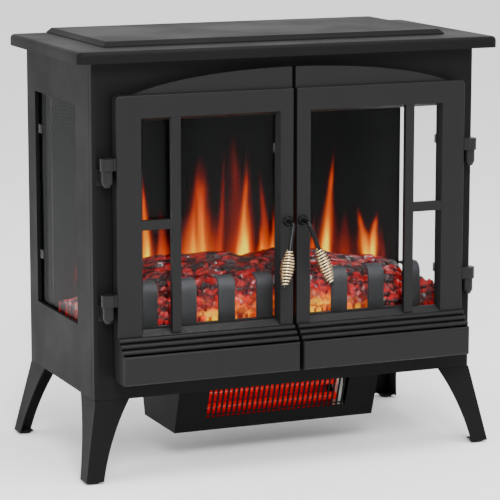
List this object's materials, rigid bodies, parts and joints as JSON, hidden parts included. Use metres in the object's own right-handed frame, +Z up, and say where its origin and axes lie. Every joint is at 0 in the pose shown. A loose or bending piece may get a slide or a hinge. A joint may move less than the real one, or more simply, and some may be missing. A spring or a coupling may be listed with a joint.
{
  "type": "electric fireplace stove",
  "caption": "Free-standing electric stove with glazed double doors, side windows, glowing log set, flame screen and a fan heater slung below.",
  "frame": {"origin": "on the floor under the middle of the overall box", "axes": "+X to the right seen from the front, +Y to the back, +Z up"},
  "size_m": [0.61, 0.3679, 0.5825],
  "materials": {
    "black_enamel": "satin black heat-proof enamel",
    "steel_sheet": "plain galvanised sheet",
    "door_black": "satin black moulding",
    "hinge_black": "satin black casting",
    "handle_black": "gloss black rod",
    "brass_coil": "polished wound wire",
    "zinc_fasteners": "zinc plated",
    "clear_glass": "clear toughened",
    "black_plastic": "fine matt",
    "gloss_black": "gloss",
    "magnet_black": "sintered magnet",
    "ember_resin": "translucent glowing resin",
    "grate_iron": "satin charcoal",
    "firebox_black": "matt black",
    "smoked_acrylic": "smoked diffusing sheet",
    "circuit_board": "circuit board",
    "bright_foil": "bright reflective",
    "motor_steel": "plated can",
    "heater_black": "satin black",
    "quartz_glass": "clear quartz",
    "ceramic": "unglazed ceramic",
    "wheel_aluminium": "pressed blades",
    "leg_black": "satin black",
    "rubber": "matt"
  },
  "bodies": {
    "case": {"top_panel": "black_enamel", "top_deck": "steel_sheet", "front_panel": "black_enamel", "side_panel_right": "black_enamel", "side_panel_left": "black_enamel", "side_glass_right": "clear_glass", "side_glass_left": "clear_glass", "side_glass_clips": "steel_sheet", "back_panel": "black_enamel", "base_pan": "steel_sheet", "case_screws": "zinc_fasteners", "cord_gland": "black_plastic", "hinge_knuckles": "hinge_black", "hinge_pins": "zinc_fasteners", "magnet_catches": "magnet_black", "log_rear": "ember_resin", "log_left": "ember_resin", "log_right": "ember_resin", "log_center": "ember_resin", "ember_bed": "ember_resin", "grate": "grate_iron", "firebox_floor": "firebox_black", "firebox_ceiling": "firebox_black", "flame_screen": "smoked_acrylic", "light_boards": "circuit_board", "flicker_motor": "motor_steel", "rod_bearing": "black_plastic", "heater_housing": "heater_black", "heater_front": "heater_black", "quartz_tubes": "quartz_glass", "tube_holders": "ceramic", "heat_reflector": "bright_foil", "thermal_cutout": "ceramic", "blower_motor": "motor_steel", "control_panel": "black_plastic", "control_board": "circuit_board", "leg_front_right": "leg_black", "leg_front_left": "leg_black", "leg_rear_right": "leg_black", "leg_rear_left": "leg_black", "foot_pads": "rubber"},
    "door_left": {"door_frame_left": "door_black", "door_glass_left": "clear_glass", "door_glass_clips_left": "steel_sheet", "hinge_lugs_left": "hinge_black", "handle_rod_left": "handle_black", "handle_coil_left": "brass_coil", "handle_fixings_left": "handle_black"},
    "door_right": {"door_frame_right": "door_black", "door_glass_right": "clear_glass", "door_glass_clips_right": "steel_sheet", "hinge_lugs_right": "hinge_black", "handle_rod_right": "handle_black", "handle_coil_right": "brass_coil", "handle_fixings_right": "handle_black"},
    "flicker_rod": {"flicker_rod": "bright_foil"},
    "blower_wheel": {"blower_wheel": "wheel_aluminium"},
    "power_switch": {"power_switch": "gloss_black"},
    "button_flame": {"button_flame": "gloss_black"},
    "button_heat": {"button_heat": "gloss_black"}
  },
  "joints": [
    {"name": "left_door_hinge", "type": "hinge", "parent": "case", "child": "door_left", "pos_m": [-0.2655, -0.1311, 0.33], "axis": [0, 0, -1], "range_deg": [0, 120]},
    {"name": "right_door_hinge", "type": "hinge", "parent": "case", "child": "door_right", "pos_m": [0.2655, -0.1311, 0.33], "axis": [0, 0, 1], "range_deg": [0, 120]},
    {"name": "flicker_rod_spin", "type": "hinge", "parent": "case", "child": "flicker_rod", "pos_m": [0, 0.1269, 0.214], "axis": [1, 0, 0], "continuous": true},
    {"name": "blower_wheel_spin", "type": "hinge", "parent": "case", "child": "blower_wheel", "pos_m": [0, 0.0149, 0.076], "axis": [1, 0, 0], "continuous": true},
    {"name": "power_switch_rock", "type": "hinge", "parent": "case", "child": "power_switch", "pos_m": [0.112, -0.1111, 0.162], "axis": [-1, 0, 0], "range_deg": [0, 20]},
    {"name": "flame_button_press", "type": "slide", "parent": "case", "child": "button_flame", "axis": [0, 1, 0], "range_m": [0, 0.0015], "stiffness_N_per_m": 300, "springref_m": -0.001},
    {"name": "heat_button_press", "type": "slide", "parent": "case", "child": "button_heat", "axis": [0, 1, 0], "range_m": [0, 0.0015], "stiffness_N_per_m": 300, "springref_m": -0.001}
  ]
}
